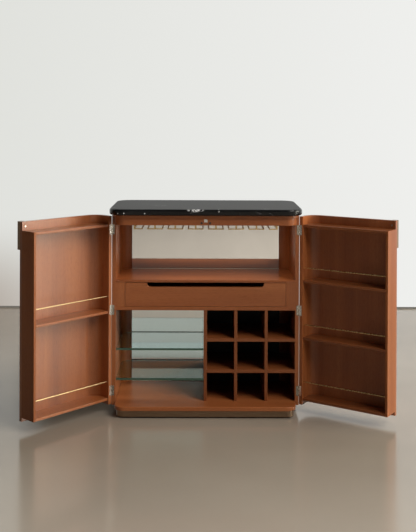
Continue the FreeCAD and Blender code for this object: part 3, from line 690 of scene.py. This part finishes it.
# The face tint is partly the glass's own and partly painted shade.
glass_face = shelf_glass("glass_face", (0.68, 0.87, 0.87), (0.72, 0.89, 0.89), rough=0.0, clear=1.0)
glass_edge = shelf_glass("glass_edge", (0.08, 0.19, 0.13), (0.11, 0.24, 0.17), rough=0.12, clear=0.5)
for name in ("upper_glass_shelf", "lower_glass_shelf"):
    dress(glass_face, [name])
    nodes[name].visible_shadow = False
    shelf = nodes[name].data
    shelf.materials.append(glass_edge)
    for face in shelf.polygons:
        face.material_index = int(abs(face.normal.z) < EDGE_TILT)

# %% [markdown]
# ## Dark fittings
#
# The back board of the bottle rack is black, partly its own colour and partly painted shade that makes
# the cells look deep, the door magnets are matt ferrite, and the glides under the plinth are moulded
# black plastic. All three are matt with a fine grain, so they share a function too.

# %% Dark fittings
SPECK_STOPS = (0.35, 0.65)
SPECK_RELIEF = 0.1
SPECK_DEPTH = 0.0003


def dark_matt(name, dark, light, rough, grain):
    """Matt dark surface with so many grains per metre."""
    finish, tree, shader = new_finish(name)
    specks = stretched_noise(tree, object_place(tree), (grain, grain, grain), detail=2.0)
    colour = ramp(tree, specks, list(zip(SPECK_STOPS, (dark, light))))
    tree.links.new(colour, shader.inputs["Base Color"])
    tree.links.new(spread(tree, specks, rough), shader.inputs["Roughness"])
    bump(tree, shader, specks, SPECK_RELIEF, SPECK_DEPTH)
    return finish


# The rack's back board: black, partly its own colour and partly painted shade.
black_back_painted_shade = dark_matt("black_back_painted_shade", (0.010, 0.008, 0.007), (0.020, 0.016, 0.013), (0.50, 0.62), 150.0)
ferrite = dark_matt("ferrite", (0.016, 0.014, 0.012), (0.032, 0.028, 0.024), (0.45, 0.57), 900.0)
glide_plastic = dark_matt("glide_plastic", (0.012, 0.012, 0.012), (0.022, 0.022, 0.022), (0.40, 0.52), 700.0)
dress(black_back_painted_shade, ["bottle_rack_back"])
dress(ferrite, ["catch_magnets"])
dress(glide_plastic, ["floor_glides"])

# %% [markdown]
# ## The floor
#
# The cabinet stands on a pale, lightly polished floor. It is an ordinary lit surface, so it keeps the
# shadows. Towards the camera it is painted lighter, which is painted light, and it loses its gloss: that
# part is what the lower mirror shows, and a darker, glossy floor there would make the mirror too dark.

# %% Floor
FLOOR_HALF = 14.0
FLOOR_DARK = (0.300, 0.258, 0.210)
FLOOR_PALE = (0.350, 0.305, 0.252)
FLOOR_FRONT_PAINTED_LIGHT = (0.77, 0.72, 0.675)
FRONT_FROM = -0.6
FRONT_TO = -4.4
PATCH_STRETCH = (0.9, 0.9, 0.9)
PATCH_STOPS = (0.35, 0.65)
FLOOR_ROUGHNESS = (0.13, 0.19)
FLOOR_IOR = 1.7
FLOOR_GLOSS = 0.6


def stage_plane(name, corners, finish):
    """A flat stage surface through its corners."""
    mesh = bpy.data.meshes.new(name)
    mesh.from_pydata(corners, [], [tuple(range(len(corners)))])
    plane = bpy.data.objects.new(name, mesh)
    mesh.materials.append(finish)
    bpy.context.scene.collection.objects.link(plane)
    print("stage:", name)
    return plane


floor_finish, floor_tree, floor_shader = new_finish("pale_floor")
patches = stretched_noise(floor_tree, object_place(floor_tree), PATCH_STRETCH, detail=3.0)
floor_colour = ramp(floor_tree, patches, list(zip(PATCH_STOPS, (FLOOR_DARK, FLOOR_PALE))))
floor_y = coordinate(floor_tree, "Y")
# Painted light: the floor is lighter towards the camera.
to_front = map_range(floor_tree, floor_y, FRONT_FROM, FRONT_TO)
with_painted_light = mixed(floor_tree, to_front, floor_colour, FLOOR_FRONT_PAINTED_LIGHT)
floor_tree.links.new(with_painted_light, floor_shader.inputs["Base Color"])
floor_tree.links.new(spread(floor_tree, patches, FLOOR_ROUGHNESS), floor_shader.inputs["Roughness"])
gloss = map_range(floor_tree, floor_y, FRONT_FROM, FRONT_TO, FLOOR_GLOSS, 0.0)
floor_tree.links.new(gloss, floor_shader.inputs["Specular IOR Level"])
floor_shader.inputs["IOR"].default_value = FLOOR_IOR
half = FLOOR_HALF
stage_plane("floor", [(-half, -half, 0), (half, -half, 0), (half, half, 0), (-half, half, 0)], floor_finish)

# %% [markdown]
# ## The wall
#
# Behind the cabinet is a plain pale wall, a little darker on the left, with a painted shadow of the
# cabinet low down on the left and a painted shadow line along its foot. It is shown at its own colour to
# the camera, and to mirrors and glass, but it gives the cabinet no more light than plain paint would, and
# it casts no shadow. It only shows from its front, so that the back of the cabinet can be looked at as
# well. Behind the left door the floor should mirror a dark corner, so reflections find a painted shadow
# there.

# %% Colour of the wall
WALL_DEPTH = 2.37
WALL_REACH = 4.0
WALL_LEFT = (0.67, 0.68, 0.635)
WALL_RIGHT = (0.94, 0.94, 0.93)
# Painted shadow of the cabinet on the wall, low down on the left.
WALL_PAINTED_SHADOW = (0.40, 0.34, 0.29)
SHADE_HEIGHT = 0.75
SHADE_FROM = -1.9
SHADE_TO = -0.6
# Painted shadow line along the foot of the wall.
WALL_FOOT_SHADOW = (0.16, 0.15, 0.13)
FOOT_SHADOW_HEIGHT = 0.012
# Painted shadow behind the left door, seen only in reflections.
DOOR_SHADOW = (0.03, 0.026, 0.022)
SHADOW_MIDDLE = (-0.95, WALL_DEPTH, 0.6)
SHADOW_HALVES = (0.55, 1.0, 0.9)

wall_finish, wall_tree, wall_shader = new_finish("pale_wall")
wall_x = coordinate(wall_tree, "X")
wall_z = coordinate(wall_tree, "Z")
across = map_range(wall_tree, wall_x, -WALL_REACH, WALL_REACH)
bare_wall = ramp(wall_tree, across, [(0.0, WALL_LEFT), (1.0, WALL_RIGHT)])
low_down = map_range(wall_tree, wall_z, SHADE_HEIGHT, 0.0, interpolation_type="SMOOTHSTEP")
to_left = map_range(wall_tree, wall_x, SHADE_TO, SHADE_FROM)
# the painted shadow is mixed into the bare wall here
painted = mixed(wall_tree, calculate(wall_tree, "MULTIPLY", low_down, to_left), bare_wall, WALL_PAINTED_SHADOW)
in_foot_shadow = calculate(wall_tree, "LESS_THAN", wall_z, FOOT_SHADOW_HEIGHT)
wall_colour = mixed(wall_tree, in_foot_shadow, painted, WALL_FOOT_SHADOW)
# where the painted shadow behind the left door lies
behind_door = egg_mask(wall_tree, object_place(wall_tree), SHADOW_MIDDLE, SHADOW_HALVES)
in_gloss = add_node(wall_tree, "LightPath").outputs["Is Glossy Ray"]
reflected_painted_shadow = mixed(wall_tree, in_gloss, BLACK, behind_door)
shown_colour = mixed(wall_tree, reflected_painted_shadow, wall_colour, DOOR_SHADOW)
print("wall colours set", WALL_DEPTH, "m behind the middle")

# %% Wall
WALL_HEIGHT = 9.0
WALL_ROUGHNESS = 0.9


def seen_directly(tree, ways=("Is Glossy Ray", "Is Transmission Ray")):
    """1 for what the camera sees, straight or in one of the given ways, and 0 for light that bounces."""
    path = add_node(tree, "LightPath")
    total = path.outputs["Is Camera Ray"]
    for name in ways:
        total = calculate(tree, "MAXIMUM", total, path.outputs[name])
    return total


def either(tree, factor, first, second):
    """One of two shaders, or a mix of them."""
    node = add_node(tree, "MixShader")
    for socket, source in zip(node.inputs, (factor, first, second)):
        tree.links.new(source, socket)
    return node.outputs["Shader"]


wall_tree.links.new(wall_colour, wall_shader.inputs["Base Color"])
wall_shader.inputs["Roughness"].default_value = WALL_ROUGHNESS
shown = add_node(wall_tree, "Emission", {"Strength": 1.0})
wall_tree.links.new(shown_colour, shown.inputs["Color"])
pale = either(wall_tree, seen_directly(wall_tree), wall_shader.outputs["BSDF"], shown.outputs["Emission"])
from_behind = add_node(wall_tree, "NewGeometry").outputs["Backfacing"]
clear = add_node(wall_tree, "BsdfTransparent").outputs["BSDF"]
one_sided = either(wall_tree, from_behind, pale, clear)
wall_tree.links.new(one_sided, wall_tree.nodes["Material Output"].inputs["Surface"])
wall = stage_plane("wall", [(-half, WALL_DEPTH, 0), (half, WALL_DEPTH, 0), (half, WALL_DEPTH, WALL_HEIGHT),
                            (-half, WALL_DEPTH, WALL_HEIGHT)], wall_finish)
wall.visible_shadow = False

# %% [markdown]
# ## Light
#
# Daylight comes from a tall window to the right and a little in front, so the inside of the left door is
# bright and the inside of the right door is in shade. One wide soft lamp stands for the window and a weak
# one overhead for the ceiling. In the upper compartment the light would bounce many times between the
# mirror, the boards and the brass. A small weak lamp under its ceiling stands for that, hidden from the
# camera and from reflections.

# %% Lamps
WINDOW = {"place": (15.0, -1.9, 3.9), "size": (8.3, 7.6), "power": 2150.0, "colour": (1.0, 0.97, 0.84)}
SKYLIGHT = {"place": (5.2, -5.0, 7.2), "size": (5.0, 5.0), "power": 650.0, "colour": (1.0, 0.95, 0.88)}
GLOW_SETBACK = 0.14
GLOW_GAP = 0.004
GLOW_SIZE = (0.72, 0.12)
GLOW_POWER = 1.35
GLOW_COLOUR = (1.0, 0.90, 0.78)


def soft_lamp(name, target, place, size, power, colour):
    """A rectangular area lamp that looks at a target."""
    data = bpy.data.lights.new(name, "AREA")
    data.shape = "RECTANGLE"
    data.size, data.size_y = size
    data.energy = power
    data.color = colour
    lamp = bpy.data.objects.new(name, data)
    lamp.location = place
    lamp.rotation_euler = (Vector(target) - Vector(place)).to_track_quat("-Z", "Y").to_euler()
    bpy.context.scene.collection.objects.link(lamp)
    print(name, power, "W")
    return lamp


cabinet_middle = (0.0, 0.0, (cad_low.z + cad_high.z) / 2)
soft_lamp("window", cabinet_middle, **WINDOW)
soft_lamp("skylight", cabinet_middle, **SKYLIGHT)
ceiling_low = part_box("ceiling_panel")[0]
glow_y = ceiling_low.y + GLOW_SETBACK
inner_glow = soft_lamp("compartment_glow", (0.0, glow_y, 0.0), (0.0, glow_y, ceiling_low.z - GLOW_GAP),
                       GLOW_SIZE, GLOW_POWER, GLOW_COLOUR)
inner_glow.visible_camera = False
inner_glow.visible_glossy = False
inner_glow.visible_transmission = False

# %% [markdown]
# ## The room
#
# The world is a dim room for the light that bounces, and a pale one for what is seen directly or through
# glass. Polished things would mirror only the dim room, so reflections find a band of pale windows all
# round it, between two heights.

# %% World
ROOM_DIM = (0.035, 0.034, 0.032)
ROOM_PALE = (0.60, 0.57, 0.54)
FRONT_WINDOWS = (0.55, 0.60, 0.60)
WINDOW_RISE = ((0.185, ROOM_DIM), (0.205, FRONT_WINDOWS), (0.256, FRONT_WINDOWS), (0.262, ROOM_DIM))
world = bpy.data.worlds.new("soft_room")
world.use_nodes = True
room_tree = world.node_tree
direction = add_node(room_tree, "SeparateXYZ")
room_tree.links.new(add_node(room_tree, "TexCoord").outputs["Generated"], direction.inputs["Vector"])
windows = ramp(room_tree, direction.outputs["Z"], WINDOW_RISE)
in_gloss = add_node(room_tree, "LightPath").outputs["Is Glossy Ray"]
bounced = mixed(room_tree, in_gloss, ROOM_DIM, windows)
in_view = seen_directly(room_tree, ("Is Transmission Ray",))
room_colour = mixed(room_tree, in_view, bounced, ROOM_PALE)
room_tree.links.new(room_colour, room_tree.nodes["Background"].inputs["Color"])
bpy.context.scene.world = world
bpy.context.scene.view_settings.view_transform = "Standard"
print("world:", world.name)
